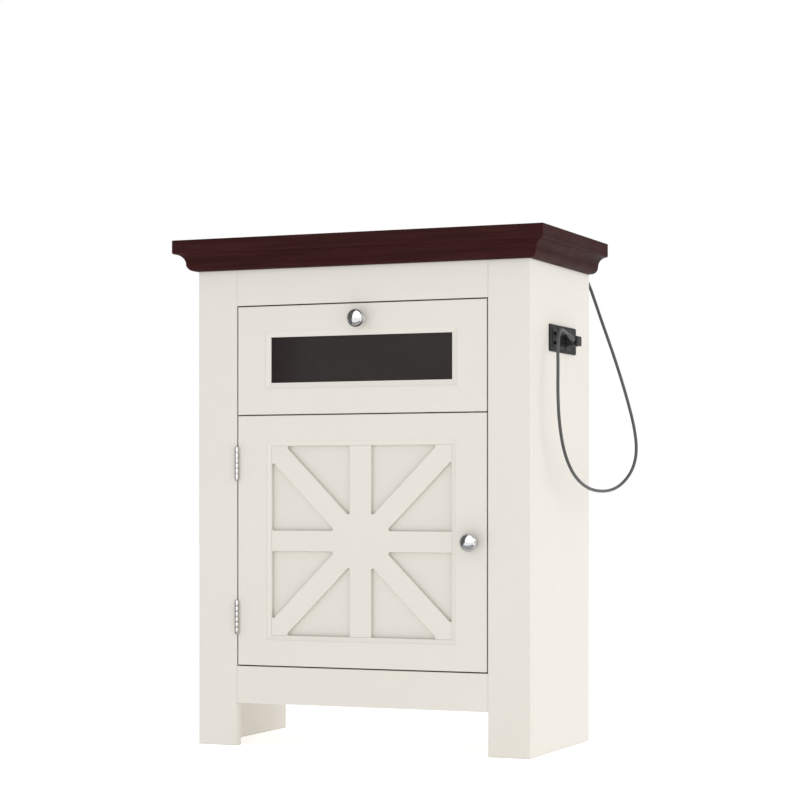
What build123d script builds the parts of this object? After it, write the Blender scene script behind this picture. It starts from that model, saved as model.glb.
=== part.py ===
from build123d import *
import math
import os

# Aquarium stand cabinet. Millimetres, +Z up, the front faces -Y.
# The origin is on the floor, under the middle of the cabinet's box.

# Overall sizes
body_width = 565.0       # across the two side panels
body_depth = 287.0       # front of the stiles to the rear edges of the sides
body_height = 760.0      # floor to the underside of the top moulding
top_height = 48.5        # moulding and top board together
top_overhang = 32.0      # moulding proud of the front and of the two sides

# Boards
face_board = 15.0        # stiles, rails, door and drawer front
side_board = 18.0        # side panels, and the battens of the top frame
shelf_board = 15.0       # floor, deck, shelf and partitions
box_board = 12.0         # sides and back of the drawer box
back_board = 3.0         # back panel
arris = 0.8              # softened edges of the painted boards
slip = 0.1               # glued or sliding clearance of a board in its groove

# Front layout, from the floor up
opening_half = 214.0     # half the clear width between the stiles
reveal = 2.0             # gap round the door and the drawer front
leg_clearance = 68.5     # under the bottom rail
bottom_rail_height = 59.0
door_height = 397.0
drawer_height = 172.0

# Door
panel_half_width = 154.0     # half the clear width inside the door frame
panel_half_height = 150.5
bead_width = 7.5             # bevel round the panel
bead_step = 0.5              # square shoulder at the outside of the bevel
bead_depth = 2.5             # front face down to the foot of the bevel
recess_depth = 9.0           # front face down to the flat panel
upright_width = 36.0         # spokes of the overlay
crossbar_width = 32.5
diagonal_width = 33.2
spoke_corner = 3.0
knob_from_edge = 24.0        # knob centre to the door's or the drawer front's edge

# Drawer
window_half_width = 154.5
window_height = 72.5
window_bottom = 50.0         # above the drawer front's lower edge
window_bead_width = 9.5      # bevel round the window
pane_thickness = 3.0
pane_lip = 3.5               # board left in front of the pane
pane_margin = 10.0           # pane hidden behind the board, all round
box_half_width = 200.0       # outside of the drawer sides
box_rear = 131.0
box_bottom = 545.0
box_top = 670.0

# Hardware
knob_radius = 14.5
knob_widest = 15.8           # from the face to the knob's widest ring
knob_reach = 27.0
knob_crown = 0.5             # flat at the very top of the turning
knob_foot = 10.0             # radius of the foot
knob_throat = (7.0, 5.7)     # radius, and distance from the face, where the ball leaves the neck
screw_radius = 2.0
screw_slack = 0.2            # clearance of the knob screws in the boards
hinge_height = 50.8
hinge_inset = 76.0           # hinge centre from the door's top and bottom edges
barrel_radius = 3.25
barrel_reach = 3.6           # barrel axis in front of the face
pin_radius = 1.6
leaf_width = 13.0
leaf_thickness = 0.9
leaf_screw_depth = 7.0       # leaf screws behind the face
leaf_screw_spread = 16.0     # leaf screws above and below the hinge's middle
leaf_head_radius = 2.8
leaf_shank_radius = 1.5
leaf_shank_length = 17.0
knuckles = 6
knuckle_gap = 0.3
slide_length = 250.0
slide_start = -106.0
slide_height = 600.0         # centre line of the drawer slides
slide_metal = 1.2
slide_screw_y = [-80.0, 110.0]
catch_x = (150.0, 190.0)
catch_height = 12.0
catch_depth = 16.0
strike_thickness = 1.2

# Outlet in the right side, and the lead plugged into it
plate_length = 127.0
plate_height = 42.0
plate_thickness = 2.5
socket_size = (28.0, 33.0)
usb_size = (18.0, 28.0)
socket_proud = 0.6               # socket faces in front of the plate
socket_depth = 17.0
fit_gap = 0.1                    # socket faces in the plate's openings
housing_wall = 2.0
housing_reach = 28.0             # housing behind the side panel's inner face
outlet_y = 21.5
outlet_z = 645.0
socket_offsets = [24.0, -10.0]   # along the plate from its middle
usb_offset = -42.0
blade_spread = 6.35              # each blade's middle from the socket's middle
ground_drop = 7.5                # ground pin below the socket's middle
plug_reach = 13.0                # plug body off the socket face
relief_length = 27.0             # its first few millimetres lie in the plug
lead_diameter = 5.0
gland_nut = 5.0
gland_across_flats = 16.0
lead_route = [
    (296.5, 8, 652.5), (297, -12, 657.5), (298.5, -33, 656.5), (301.5, -51, 645.5),
    (304.5, -63, 626), (307.5, -71, 597), (308.5, -75, 556), (309.5, -71.5, 511),
    (311.5, -54, 465), (316, -20, 430), (321.5, 31, 410.5), (328, 86, 405.5),
    (333, 140, 410), (339, 179, 424.5), (345, 203, 446), (348, 211, 474),
    (344, 212, 508), (334, 213, 547), (320.5, 213, 592), (304, 214, 640),
    (287, 217, 684), (274.8, 217.9, 718), (266.8, 217.6, 740.5), (262.7, 216.3, 751.1),
    (259.4, 213.4, 760), (256.9, 207.9, 767.6), (255.2, 200.3, 773.1), (254, 191.4, 776),
    (254, 182, 776),
]

# Planes and levels that follow from the sizes above
front_face = top_overhang - (body_depth + top_overhang) / 2
rear_face = front_face + body_depth
face_rear = front_face + face_board
half_width = body_width / 2
inner_x = half_width - side_board
total_height = body_height + top_height
door_half = opening_half - reveal
rail_top = leg_clearance + bottom_rail_height
door_bottom = rail_top + reveal
door_top = door_bottom + door_height
drawer_bottom = door_top + reveal
drawer_top = drawer_bottom + drawer_height
panel_centre = door_bottom + door_height / 2
window_centre = drawer_bottom + window_bottom + window_height / 2
floor_bottom = rail_top - shelf_board
deck_bottom = (door_top + drawer_bottom) / 2 - shelf_board / 2
deck_top = deck_bottom + shelf_board
back_front = rear_face - 10.0
back_rear = back_front + back_board
top_board_bottom = total_height - side_board
shelf_bottom = 305.0
hinge_levels = [door_bottom + hinge_inset, door_top - hinge_inset]
hinge_x = -(opening_half + door_half) / 2
hinge_y = front_face - barrel_reach
outlet_face = half_width + plate_thickness
socket_face = outlet_face + socket_proud
door_knob_x = door_half - knob_from_edge
drawer_knob_z = drawer_top - knob_from_edge
from_base = (Align.CENTER, Align.CENTER, Align.MIN)


def block(x, y, z):
    """A box between two values on each axis."""
    size = [high - low for low, high in (x, y, z)]
    centre = [(high + low) / 2 for low, high in (x, y, z)]
    return Pos(*centre) * Box(*size)


def softened(board, radius=arris):
    return fillet(board.edges(), radius)


def rod(radius, start, end):
    """A round bar from one point to another."""
    way = Vector(*end) - Vector(*start)
    return Plane(origin=start, z_dir=way) * Cylinder(radius, way.length, align=from_base)


def both_sides(shape):
    """The shape and its mirror image on the cabinet's left."""
    return [shape, mirror(shape, about=Plane.YZ)]


def save(name, *solids):
    pieces = []
    for solid in solids:
        pieces.extend(solid.solids())
    shape = pieces[0] if len(pieces) == 1 else Compound(pieces)
    export_step(shape, f"parts/{name}.step")


# Fastenings, shared by the boards that they are let into

cam_radius = 7.5
cam_depth = 12.0
cam_x = inner_x - 24.0
cam_rows = [(-70.0, floor_bottom), (100.0, floor_bottom), (-70.0, deck_bottom), (100.0, deck_bottom)]
cam_gap = 0.5
bolt_reach = 11.0
bolt_radius = 2.5
bolt_shank_radius = 3.5
bolt_bore_radius = 4.0
back_screw_x = [-200.0, -100.0, 0.0, 100.0, 200.0]
back_screw_z = [floor_bottom + shelf_board / 2, deck_bottom + shelf_board / 2]
back_screw_length = 15.0
shelf_pin_y = [-75.0, 110.0]
shelf_pin_radius = 2.5
shelf_pin_levels = [shelf_bottom - shelf_pin_radius + 32.0 * step for step in (-2, -1, 0, 1, 2)]
shelf_pin_depth = 10.0
anti_tip_x = 150.0
anti_tip_radius = 2.25
anti_tip_depth = 15.0
gland_bore = 5.1
cable_ports = [(-170.0, 455.0, 27.0), (247.0, 585.0, 11.0)]   # across, up, radius
loose = 0.05                     # a fastening's shank inside its hole
lead_gland_x, lead_gland_y, lead_gland_z = lead_route[-1]


def bolt_hole(y, z, radius, shank_radius):
    """One cam bolt's bore: thin in the side panel, wide in the board's end."""
    level = z + shelf_board / 2
    thin = rod(radius, (inner_x, y, level), (inner_x + bolt_reach + 1, y, level))
    wide = rod(shank_radius, (cam_x, y, level), (inner_x, y, level))
    return thin + wide


def cam_cuts():
    cuts = []
    for y, z in cam_rows:
        pocket = rod(cam_radius, (cam_x, y, z), (cam_x, y, z + cam_depth + cam_gap))
        cuts += both_sides(pocket) + both_sides(bolt_hole(y, z, bolt_radius, bolt_bore_radius))
    return cuts


def back_screw_cuts():
    cuts = []
    for x in back_screw_x:
        for z in back_screw_z:
            cuts.append(rod(1.75, (x, back_front - back_screw_length - 1, z), (x, back_rear, z)))
    return cuts


def hinge_screw_points():
    points = []
    for level in hinge_levels:
        for step in (-leaf_screw_spread, leaf_screw_spread):
            points.append((front_face + leaf_screw_depth, level + step))
    return points


# Carcass

def side_panel():
    """The right side panel, before the outlet is cut into it."""
    panel = block((inner_x, half_width), (face_rear, rear_face), (0, body_height))
    panel = softened(panel)
    panel -= block((inner_x, inner_x + 5), (back_front - slip, back_rear + slip), (floor_bottom, body_height))
    for y in shelf_pin_y:
        for level in shelf_pin_levels:
            panel -= rod(shelf_pin_radius, (inner_x, y, level), (inner_x + shelf_pin_depth, y, level))
    for y, z in cam_rows:
        panel -= bolt_hole(y, z, bolt_radius, bolt_bore_radius)
    return panel


def side_panels():
    panel = side_panel()
    save("side_panel_left", mirror(panel, about=Plane.YZ))
    half_length = plate_length / 2 - 6.5
    half_height = plate_height / 2 - 4.0
    cut_out = block(
        (inner_x, half_width),
        (outlet_y - half_length, outlet_y + half_length),
        (outlet_z - half_height, outlet_z + half_height),
    )
    save("side_panel_right", panel - cut_out)


def front_stiles():
    stile = block((opening_half, half_width), (front_face, face_rear), (0, body_height))
    stile = softened(stile)
    save("front_stile_right", stile)
    left = mirror(stile, about=Plane.YZ)
    for y, z in hinge_screw_points():
        reach = leaf_shank_length + 1
        left -= rod(leaf_shank_radius + loose, (-opening_half, y, z), (-opening_half - reach, y, z))
    save("front_stile_left", left)


def face_rails():
    across = (-opening_half, opening_half)
    through = (front_face, face_rear)
    save("top_rail", softened(block(across, through, (drawer_top + reveal, body_height))))
    save("bottom_rail", softened(block(across, through, (leg_clearance, rail_top))))


def inner_boards():
    fixings = cam_cuts() + back_screw_cuts()
    across = (-inner_x, inner_x)
    cabinet_floor = block(across, (face_rear, back_front), (floor_bottom, rail_top))
    deck = block(across, (face_rear + 2, back_front), (deck_bottom, deck_top))
    for cut in fixings:
        cabinet_floor -= cut
        deck -= cut
    save("cabinet_floor", cabinet_floor)
    save("drawer_deck", deck)

    partition = block(
        (opening_half, opening_half + shelf_board), (face_rear, back_front), (deck_top, body_height)
    )
    for y in slide_screw_y:
        partition -= rod(1.65, (opening_half, y, slide_height), (opening_half + 11, y, slide_height))
    save("drawer_partition_right", partition)
    save("drawer_partition_left", mirror(partition, about=Plane.YZ))

    shelf_x = inner_x - 1
    shelf_y = (face_rear + 14, back_front - 1)
    shelf = block((-shelf_x, shelf_x), shelf_y, (shelf_bottom, shelf_bottom + shelf_board))
    save("adjustable_shelf", softened(shelf))


def shelf_pins():
    pins = []
    for y in shelf_pin_y:
        level = shelf_bottom - shelf_pin_radius
        pin_radius_in_hole = shelf_pin_radius - loose
        pin = rod(pin_radius_in_hole, (inner_x - 12, y, level), (inner_x, y, level))
        collar = rod(4.5, (inner_x - 1.5, y, level - 2.1), (inner_x, y, level - 2.1))
        tail = rod(pin_radius_in_hole, (inner_x, y, level), (inner_x + shelf_pin_depth - 1, y, level))
        pins += both_sides(pin + collar + tail)
    save("shelf_pins", *pins)


def back_panel():
    edge = inner_x + 4.5
    panel = block((-edge, edge), (back_front, back_rear), (floor_bottom, body_height))
    for cut in back_screw_cuts():
        panel -= cut
    for x, z, radius in cable_ports:
        panel -= rod(radius, (x, back_front, z), (x, back_rear, z))
    save("back_panel", panel)

    grommets = []
    for x, z, radius in cable_ports:
        sleeve = rod(radius - 0.1, (x, back_front - 6, z), (x, back_rear + 2, z))
        lip = rod(radius + 4, (x, back_rear, z), (x, back_rear + 2, z))
        bore = rod(radius - 3, (x, back_front - 6, z), (x, back_rear + 2, z))
        grommets.append(sleeve + lip - bore)
    save("port_grommets", *grommets)


def carcass_fixings():
    cams = []
    bolts = []
    for y, z in cam_rows:
        level = z + shelf_board / 2
        cams += both_sides(rod(cam_radius - slip, (cam_x, y, z + cam_gap), (cam_x, y, z + cam_depth)))
        thread = rod(bolt_radius - loose, (inner_x, y, level), (inner_x + bolt_reach, y, level))
        shank = rod(bolt_shank_radius, (cam_x + cam_radius, y, level), (inner_x, y, level))
        bolts += both_sides(thread + shank)
    save("cam_locks", *cams)
    save("cam_bolts", *bolts)

    screws = []
    for x in back_screw_x:
        for z in back_screw_z:
            shank = rod(1.7, (x, back_front - back_screw_length, z), (x, back_rear, z))
            head = rod(4.0, (x, back_rear, z), (x, back_rear + 2, z))
            screws.append(shank + fillet(head.edges().group_by(Axis.Y)[-1], 1.2))
    save("back_screws", *screws)


# Top

def moulding_profile():
    """Outward distance and height: round below, hollow above, flat fascia, rounded top edge."""
    ovolo = 11.5
    cove = 15.0
    toe = 4.0
    waist = toe + ovolo
    cove_top = ovolo + cove
    crown = 1.5
    diagonal = math.sqrt(0.5)
    outline = [
        Line((toe, 0), (-side_board, 0)),
        Line((-side_board, 0), (-side_board, top_height)),
        Line((-side_board, top_height), (top_overhang - crown, top_height)),
        ThreePointArc(
            (top_overhang - crown, top_height),
            (top_overhang - crown + crown * diagonal, top_height - crown + crown * diagonal),
            (top_overhang, top_height - crown),
        ),
        Line((top_overhang, top_height - crown), (top_overhang, cove_top + crown)),
        Line((top_overhang, cove_top + crown), (waist + cove, cove_top)),
        ThreePointArc(
            (waist + cove, cove_top),
            (waist + cove - cove * diagonal, ovolo + cove * diagonal),
            (waist, ovolo),
        ),
        ThreePointArc(
            (waist, ovolo),
            (toe + ovolo * diagonal, ovolo - ovolo * diagonal),
            (toe, 0),
        ),
    ]
    return make_face(outline)


def mitre_block(corners):
    """The upright prism that trims a moulding to its mitres."""
    outline = Polyline(*corners, close=True)
    return Pos(0, 0, body_height) * extrude(make_face(outline), top_height)


def mouldings():
    out_x = half_width + top_overhang
    out_y = front_face - top_overhang
    in_y = front_face + side_board
    front_plane = Plane(origin=(out_x, front_face, body_height), x_dir=(0, -1, 0), z_dir=(-1, 0, 0))
    front = extrude(front_plane * moulding_profile(), 2 * out_x)
    front &= mitre_block([(-out_x, out_y), (out_x, out_y), (inner_x, in_y), (-inner_x, in_y)])
    save("front_moulding", front)

    side_plane = Plane(origin=(half_width, rear_face, body_height), x_dir=(1, 0, 0), z_dir=(0, -1, 0))
    side = extrude(side_plane * moulding_profile(), rear_face - out_y)
    side &= mitre_block([(out_x, out_y), (out_x, rear_face), (inner_x, rear_face), (inner_x, in_y)])
    save("right_moulding", side)
    save("left_moulding", mirror(side, about=Plane.YZ))


def top_frame():
    inside_y = front_face + side_board
    board = block((-inner_x, inner_x), (inside_y, rear_face), (top_board_bottom, total_height))
    save("top_board", board)

    rail = block((-inner_x, inner_x), (rear_face - side_board, rear_face), (body_height, top_board_bottom))
    for side in (-1, 1):
        hole_x = side * anti_tip_x
        hole_end = (hole_x, rear_face - anti_tip_depth, lead_gland_z)
        rail -= rod(anti_tip_radius, hole_end, (hole_x, rear_face, lead_gland_z))
    bore_end = (lead_gland_x, rear_face - side_board, lead_gland_z)
    rail -= rod(gland_bore, bore_end, (lead_gland_x, rear_face, lead_gland_z))
    save("top_rear_rail", rail)

    levels = (body_height, top_board_bottom)
    batten_x = inner_x - side_board
    front = block((-batten_x, batten_x), (inside_y, inside_y + side_board), levels)
    side = block((batten_x, inner_x), (inside_y, rear_face - side_board), levels)
    save("top_cleats", front, *both_sides(side))


# Door

def bead_cut(bead, half_x, low_z, high_z):
    """The bevel round an opening: a square step, then a slope down to the opening's edge."""
    outer_x = half_x + bead
    step_y = front_face + bead_step
    middle = (low_z + high_z) / 2
    tall = high_z - low_z

    def rectangle(y, width, height):
        plane = Plane(origin=(0, y, middle), x_dir=(1, 0, 0), z_dir=(0, -1, 0))
        return plane * Rectangle(width, height)

    slope = loft([
        rectangle(step_y, 2 * outer_x, tall + 2 * bead),
        rectangle(front_face + bead_depth, 2 * half_x, tall),
    ])
    step = block((-outer_x, outer_x), (front_face, step_y), (low_z - bead, high_z + bead))
    return step + slope


def door_frame():
    frame = softened(block((-door_half, door_half), (front_face, face_rear), (door_bottom, door_top)))
    low = panel_centre - panel_half_height
    high = panel_centre + panel_half_height
    frame -= bead_cut(bead_width, panel_half_width, low, high)
    frame -= block((-panel_half_width, panel_half_width), (front_face, face_rear), (low, high))
    rebate = 10.0
    frame -= block(
        (-panel_half_width - rebate, panel_half_width + rebate),
        (front_face + recess_depth, face_rear),
        (low - rebate, high + rebate),
    )
    knob_hole = ((door_knob_x, front_face, panel_centre), (door_knob_x, face_rear, panel_centre))
    frame -= rod(screw_radius + screw_slack, *knob_hole)
    for y, z in hinge_screw_points():
        reach = leaf_shank_length + 1
        frame -= rod(leaf_shank_radius + loose, (-door_half, y, z), (-door_half + reach, y, z))
    save("door_frame", frame)

    panel = block(
        (-panel_half_width - rebate + slip, panel_half_width + rebate - slip),
        (front_face + recess_depth, face_rear),
        (low - rebate + slip, high + rebate - slip),
    )
    save("door_panel", panel)


def spoke_recesses():
    """The eight triangles left between the upright, the crossbar and the two diagonals.

    The diagonals run at 45 degrees from the panel's corners."""
    edge_x = upright_width / 2
    edge_z = crossbar_width / 2
    skew = panel_half_width - panel_half_height
    reach = diagonal_width / 2 * math.sqrt(2)
    above = reach - skew
    beside = reach + skew
    upper = [
        (edge_x, panel_half_height),
        (panel_half_height - above, panel_half_height),
        (edge_x, edge_x + above),
    ]
    outer = [
        (panel_half_width, edge_z),
        (panel_half_width, panel_half_width - beside),
        (edge_z + beside, edge_z),
    ]
    recesses = []
    for triangle in (upper, outer):
        for flip_x in (1, -1):
            for flip_z in (1, -1):
                corners = [(flip_x * x, flip_z * z) for x, z in triangle]
                face = make_face(Polyline(*corners, close=True))
                recesses.append(fillet(face.vertices(), spoke_corner))
    return recesses


def door_spokes():
    overlay = Rectangle(2 * panel_half_width - 2 * slip, 2 * panel_half_height - 2 * slip)
    for recess in spoke_recesses():
        overlay -= recess
    plane = Plane(origin=(0, front_face + recess_depth, panel_centre), x_dir=(1, 0, 0), z_dir=(0, -1, 0))
    spokes = extrude(plane * overlay, recess_depth - bead_depth)
    front_edges = spokes.edges().group_by(Axis.Y)[0]
    save("door_spokes", fillet(front_edges, 0.6))


# Knobs

def knob(x, z):
    """A ball knob on a short neck and a small foot, with a tapped hole up its middle."""
    rim = (knob_foot, 1.2)
    shoulder = (8.6, 2.4)
    widest = (knob_radius, knob_widest)
    dome = (knob_radius - knob_crown, knob_reach - knob_widest)
    outline = [
        Line((0, 0), (knob_foot, 0)),
        Line((knob_foot, 0), rim),
        ThreePointArc(rim, (9.6, 2.0), shoulder),
        ThreePointArc(shoulder, (6.6, 3.7), knob_throat),
        ThreePointArc(knob_throat, (12.2, 9.6), widest),
        EllipticalCenterArc((knob_crown, knob_widest), *dome, 0, arc_size=90),
        Line((knob_crown, knob_reach), (0, knob_reach)),
        Line((0, knob_reach), (0, 0)),
    ]
    turned = revolve(make_face(outline), Axis.Y)
    hole = rod(screw_radius, (0, 0, 0), (0, 14, 0))
    place = Plane(origin=(x, front_face, z), x_dir=(-1, 0, 0), z_dir=(0, 0, 1))
    return place * (turned - hole)


def knob_screw(x, z):
    shank = rod(screw_radius - loose, (x, face_rear, z), (x, front_face - 12, z))
    head = rod(4.2, (x, face_rear, z), (x, face_rear + 2.6, z))
    slot = block((x - 0.6, x + 0.6), (face_rear + 1.6, face_rear + 2.6), (z - 4.2, z + 4.2))
    return shank + head - slot


def knobs():
    save("door_knob", knob(door_knob_x, panel_centre))
    save("door_knob_screw", knob_screw(door_knob_x, panel_centre))
    save("drawer_knob", knob(0, drawer_knob_z))
    save("drawer_knob_screw", knob_screw(0, drawer_knob_z))


# Hinges and catch

def hinge_leaf(side, level, first_knuckle, bore):
    """One leaf with its share of the knuckles. side is -1 on the stile and +1 on the door."""
    edge = -opening_half if side < 0 else -door_half
    low = level - hinge_height / 2
    across = sorted((edge, edge - side * leaf_thickness))
    plate = block(across, (front_face, front_face + leaf_width), (low, low + hinge_height))
    pitch = hinge_height / knuckles
    leaf = plate
    for index in range(first_knuckle, knuckles, 2):
        bottom = low + index * pitch + knuckle_gap / 2
        top = bottom + pitch - knuckle_gap
        leaf += rod(barrel_radius, (hinge_x, hinge_y, bottom), (hinge_x, hinge_y, top))
        leaf += block(across, (hinge_y, front_face), (bottom, top))
        leaf -= rod(bore, (hinge_x, hinge_y, bottom), (hinge_x, hinge_y, top))
    for y, z in hinge_screw_points():
        if abs(z - level) < hinge_height / 2:
            leaf -= rod(leaf_head_radius + loose, (edge, y, z), (edge - side * leaf_thickness, y, z))
    return leaf


def hinge_screws(side):
    edge = -opening_half if side < 0 else -door_half
    screws = []
    for y, z in hinge_screw_points():
        head = rod(leaf_head_radius, (edge, y, z), (edge - side * leaf_thickness, y, z))
        shank = rod(leaf_shank_radius, (edge, y, z), (edge + side * leaf_shank_length, y, z))
        screws.append(head + shank)
    return screws


def hinges():
    save("hinge_frame_leaves", *[hinge_leaf(-1, level, 0, pin_radius) for level in hinge_levels])
    save("hinge_door_leaves", *[hinge_leaf(1, level, 1, pin_radius + 0.06) for level in hinge_levels])
    save("hinge_frame_screws", *hinge_screws(-1))
    save("hinge_door_screws", *hinge_screws(1))
    pins = []
    for level in hinge_levels:
        low = level - hinge_height / 2
        high = level + hinge_height / 2
        pin = rod(pin_radius, (hinge_x, hinge_y, low), (hinge_x, hinge_y, high))
        for end, way in ((low, -1), (high, 1)):
            tip = rod(barrel_radius - 0.25, (hinge_x, hinge_y, end), (hinge_x, hinge_y, end + way * 2))
            outer = tip.edges().group_by(Axis.Z)[-1 if way > 0 else 0]
            pin += fillet(outer, 1.6)
        pins.append(pin)
    save("hinge_pins", *pins)


def magnetic_catch():
    left, right = catch_x
    z = (deck_bottom - catch_height, deck_bottom)
    front = face_rear + 2.5
    housing = softened(block(catch_x, (front, front + catch_depth), z), 1.0)
    magnet_x = (left + 4, right - 4)
    magnet_z = (z[0] + 3, z[1] - 3)
    recess = block(magnet_x, (front, front + 10), magnet_z)
    save("catch_housing", housing - recess)
    save("catch_magnet", block(magnet_x, (front - 0.5, front + 10), magnet_z))
    strike = block((left + 3, right - 3), (face_rear, face_rear + strike_thickness), z)
    save("catch_strike", softened(strike, 0.4))


# Drawer

def drawer_front():
    front = softened(block((-door_half, door_half), (front_face, face_rear), (drawer_bottom, drawer_top)))
    low = window_centre - window_height / 2
    high = window_centre + window_height / 2
    front -= bead_cut(window_bead_width, window_half_width, low, high)
    front -= block((-window_half_width, window_half_width), (front_face, face_rear), (low, high))
    margin_x = window_half_width + pane_margin
    rebate = (low - pane_margin, high + pane_margin)
    pane_front = front_face + pane_lip
    front -= block((-margin_x, margin_x), (pane_front, face_rear), rebate)
    knob_hole = ((0, front_face, drawer_knob_z), (0, face_rear, drawer_knob_z))
    front -= rod(screw_radius + screw_slack, *knob_hole)
    save("drawer_front", front)

    seat_x = margin_x - slip
    seat_z = (rebate[0] + slip, rebate[1] - slip)
    pane_rear = pane_front + pane_thickness
    save("window_pane", block((-seat_x, seat_x), (pane_front, pane_rear), seat_z))
    retainer = block((-seat_x, seat_x), (pane_rear, pane_rear + 4), seat_z)
    retainer -= block((-window_half_width, window_half_width), (pane_rear, pane_rear + 4), (low, high))
    save("pane_retainer", retainer)


def drawer_box():
    inside = box_half_width - box_board
    floor_low = box_bottom + 7.0
    floor_high = floor_low + 6.0
    groove = 6.0
    side = block((inside, box_half_width), (face_rear, box_rear), (box_bottom, box_top))
    side = softened(side, 0.6)
    side -= block((inside, inside + groove), (face_rear, box_rear), (floor_low - slip, floor_high + slip))
    save("drawer_side_right", side)
    save("drawer_side_left", mirror(side, about=Plane.YZ))
    save("drawer_back", block((-inside, inside), (box_rear - box_board, box_rear), (floor_high, box_top)))
    edge = inside + groove - 0.5
    save("drawer_bottom", block((-edge, edge), (face_rear, box_rear), (floor_low, floor_high)))


def channel(web_x, lip_x, half_height, start):
    """A folded slide member, open towards lip_x."""
    across = sorted((web_x, lip_x))
    along = (start, start + slide_length)
    way = slide_metal if lip_x > web_x else -slide_metal
    outer = block(across, along, (slide_height - half_height, slide_height + half_height))
    hollow = block(
        sorted((web_x + way, lip_x)),
        along,
        (slide_height - half_height + slide_metal, slide_height + half_height - slide_metal),
    )
    return outer - hollow


def drawer_slides():
    outer = channel(opening_half, opening_half - 11, 22.5, slide_start)
    for y in slide_screw_y:
        outer -= rod(1.65, (opening_half - 2, y, slide_height), (opening_half, y, slide_height))
    middle = channel(opening_half - 2.4, box_half_width + 3.6, 20.0, slide_start)
    inner = channel(box_half_width, box_half_width + 9.4, 15.8, slide_start)
    for name, member in (("slide_outer", outer), ("slide_middle", middle), ("slide_inner", inner)):
        save(f"{name}_right", member)
        save(f"{name}_left", mirror(member, about=Plane.YZ))
    screws = []
    for y in slide_screw_y:
        web = opening_half - slide_metal
        head = rod(3.2, (web - 0.8, y, slide_height), (web, y, slide_height))
        shank = rod(1.6, (web, y, slide_height), (web + 11, y, slide_height))
        screws += both_sides(head + shank)
    save("slide_screws", *screws)


# Outlet

def rounded_plate(length, height, thickness, corner, x, y):
    """A plate lying against the right side, its length along the cabinet's depth."""
    plane = Plane(origin=(x, y, outlet_z), x_dir=(0, 1, 0), z_dir=(1, 0, 0))
    return extrude(plane * RectangleRounded(length, height, corner), thickness)


def socket_insert(y, length, height, corner):
    """The face of one socket in the plate, and its narrower body in the housing behind."""
    face = rounded_plate(length, height, plate_thickness + socket_proud, corner, half_width, y)
    body = rounded_plate(length - 4, height - 6, socket_depth, corner - 1, half_width - socket_depth, y)
    return face + body


def insert_opening(y, size, corner):
    """What the plate gives up for one insert."""
    length, height = size
    gap = 2 * fit_gap
    return rounded_plate(length + gap, height + gap, plate_thickness, corner + fit_gap, half_width, y)


def outlet_front():
    plate = rounded_plate(plate_length, plate_height, plate_thickness, 3.0, half_width, outlet_y)
    plate = fillet(plate.edges().group_by(Axis.X)[-1], 0.8)
    inserts = []
    through = (half_width - socket_depth, outlet_face + 1)
    for offset in socket_offsets:
        y = outlet_y + offset
        plate -= insert_opening(y, socket_size, 3.0)
        insert = socket_insert(y, *socket_size, 3.0)
        for side in (-1, 1):
            slot_y = y + side * blade_spread
            insert -= block(through, (slot_y - 1.0, slot_y + 1.0), (outlet_z + 1, outlet_z + 9))
        low_z = outlet_z - ground_drop
        insert -= rod(2.6, (through[0], y, low_z), (through[1], y, low_z))
        inserts.append(insert)
    y = outlet_y + usb_offset
    plate -= insert_opening(y, usb_size, 2.0)
    insert = socket_insert(y, *usb_size, 2.0)
    for side in (-1, 1):
        port_z = outlet_z + side * 7.5
        insert -= block((through[0] + 5, through[1]), (y - 6.3, y + 6.3), (port_z - 2.7, port_z + 2.7))
    inserts.append(insert)
    save("outlet_plate", plate)
    save("socket_inserts", *inserts)


def outlet_box():
    """The hollow housing behind the plate, and the gland that its supply would come in by."""
    length = plate_length - 14
    height = plate_height - 9
    back = inner_x - housing_reach
    depth = half_width - back
    both_walls = 2 * housing_wall
    inside = (length - both_walls, height - both_walls, depth - housing_wall)
    housing = rounded_plate(length, height, depth, 2.0, back, outlet_y)
    hollow = rounded_plate(*inside, 1.0, back + housing_wall, outlet_y)
    gland_y = outlet_y + length / 2
    gland_x = back + 12.0
    bore = 3.5
    nut_end = gland_y + 5
    nose_end = gland_y + 13
    entry = rod(bore, (gland_x, gland_y - housing_wall, outlet_z), (gland_x, gland_y, outlet_z))
    save("outlet_housing", housing - hollow - entry)
    nut = rod(7.0, (gland_x, gland_y, outlet_z), (gland_x, nut_end, outlet_z))
    nose = rod(5.5, (gland_x, nut_end, outlet_z), (gland_x, nose_end, outlet_z))
    gland = fillet((nut + nose).edges().group_by(Axis.Y)[-1], 2.0)
    gland -= rod(bore, (gland_x, gland_y, outlet_z), (gland_x, nose_end, outlet_z))
    save("supply_gland", gland)


# Plug, lead and gland

def plug_body():
    """A low right-angle plug: flat body, ribbed grip at its outer end, two blades and a ground pin."""
    y = outlet_y + socket_offsets[0]
    face = socket_face
    waist_start = face + plug_reach - 1
    grip_start = face + plug_reach + 1
    body = block((face, face + plug_reach), (y - 14, y + 13), (outlet_z - 9.5, outlet_z + 8))
    body = fillet(body.edges(), 2.5)
    waist = block((waist_start, grip_start + 0.5), (y - 8.5, y + 8.5), (outlet_z - 7, outlet_z + 4.5))
    grip = block((grip_start, grip_start + 4.5), (y - 10.5, y + 10.5), (outlet_z - 9, outlet_z + 6.5))
    body += waist + fillet(grip.edges(), 1.6)
    reach = 14.0
    for side in (-1, 1):
        blade_y = y + side * blade_spread
        blade = (blade_y - 0.8, blade_y + 0.8)
        body += block((face - reach, face + 3), blade, (outlet_z + 2, outlet_z + 8.0))
    low_z = outlet_z - ground_drop
    body += rod(2.3, (face - reach, y, low_z), (face + 3, y, low_z))
    return body


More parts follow.
